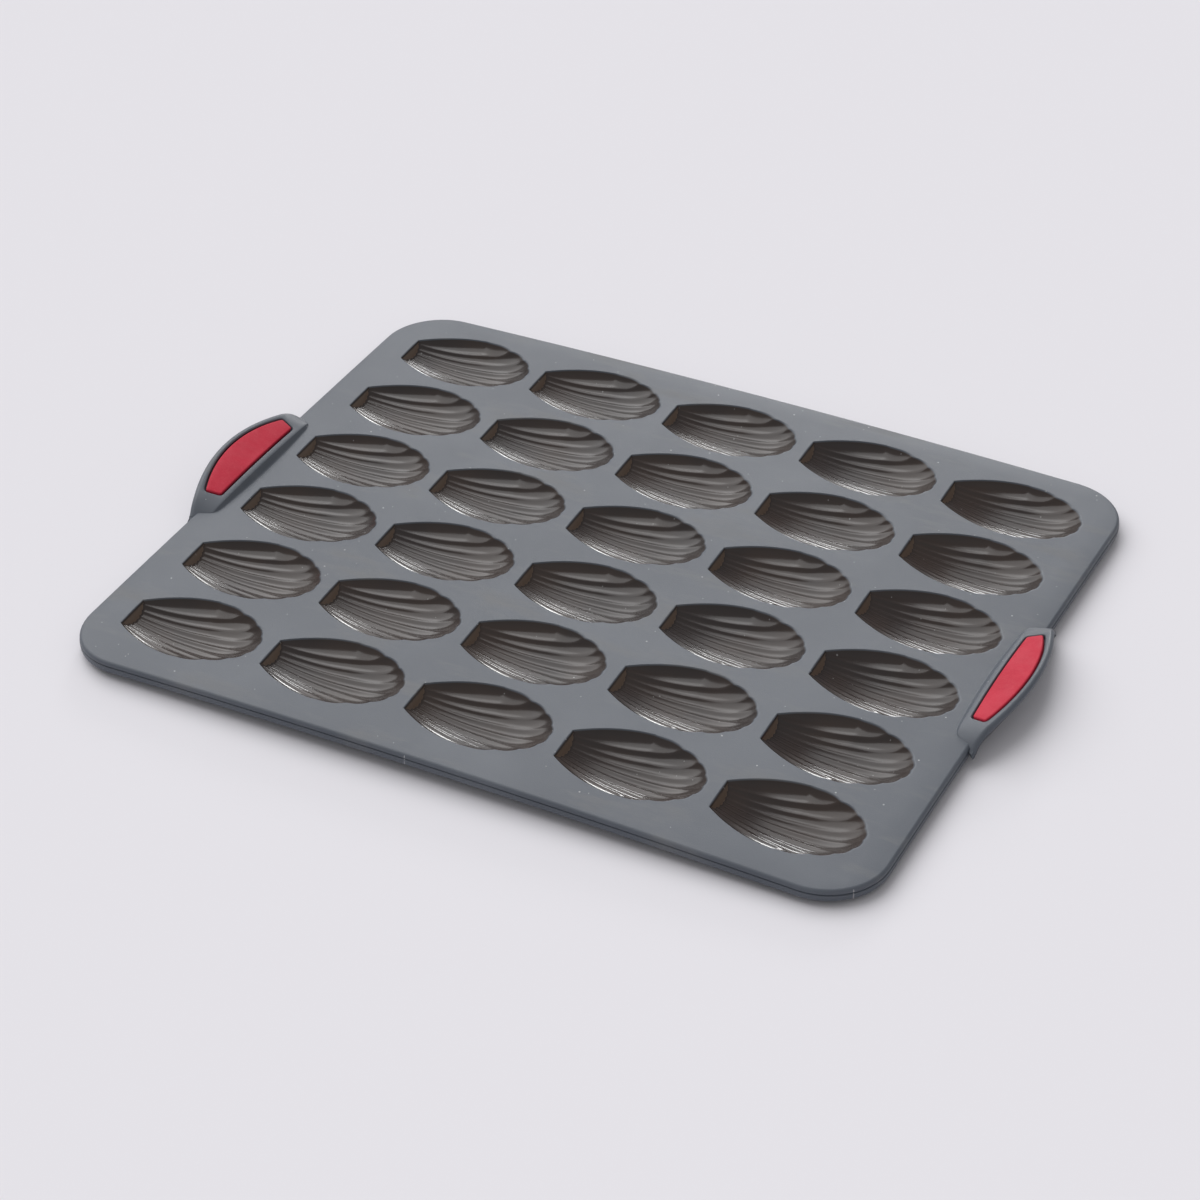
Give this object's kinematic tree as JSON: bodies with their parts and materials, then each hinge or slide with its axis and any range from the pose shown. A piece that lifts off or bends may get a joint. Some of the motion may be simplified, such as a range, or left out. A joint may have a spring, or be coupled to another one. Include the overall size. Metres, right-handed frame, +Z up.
{
  "type": "madeleine pan",
  "caption": "Flexible silicone pan for shell-shaped cakes, stiffened by a steel ring in its rim and lifted by two raised handles with red grip pads",
  "frame": {"origin": "on the table, under the centre of the pan", "axes": "+X along the pan from handle to handle, towards the round ends of the cavities; +Y across the pan; +Z up"},
  "size_m": [0.346, 0.2684, 0.0157],
  "materials": {
    "grey_silicone": "matt silicone",
    "wire_steel": "drawn wire",
    "red_silicone": "satin silicone"
  },
  "bodies": {
    "root": {"mould_body": "grey_silicone", "rim_frame": "wire_steel", "left_grip_pad": "red_silicone", "right_grip_pad": "red_silicone"}
  },
  "joints": []
}
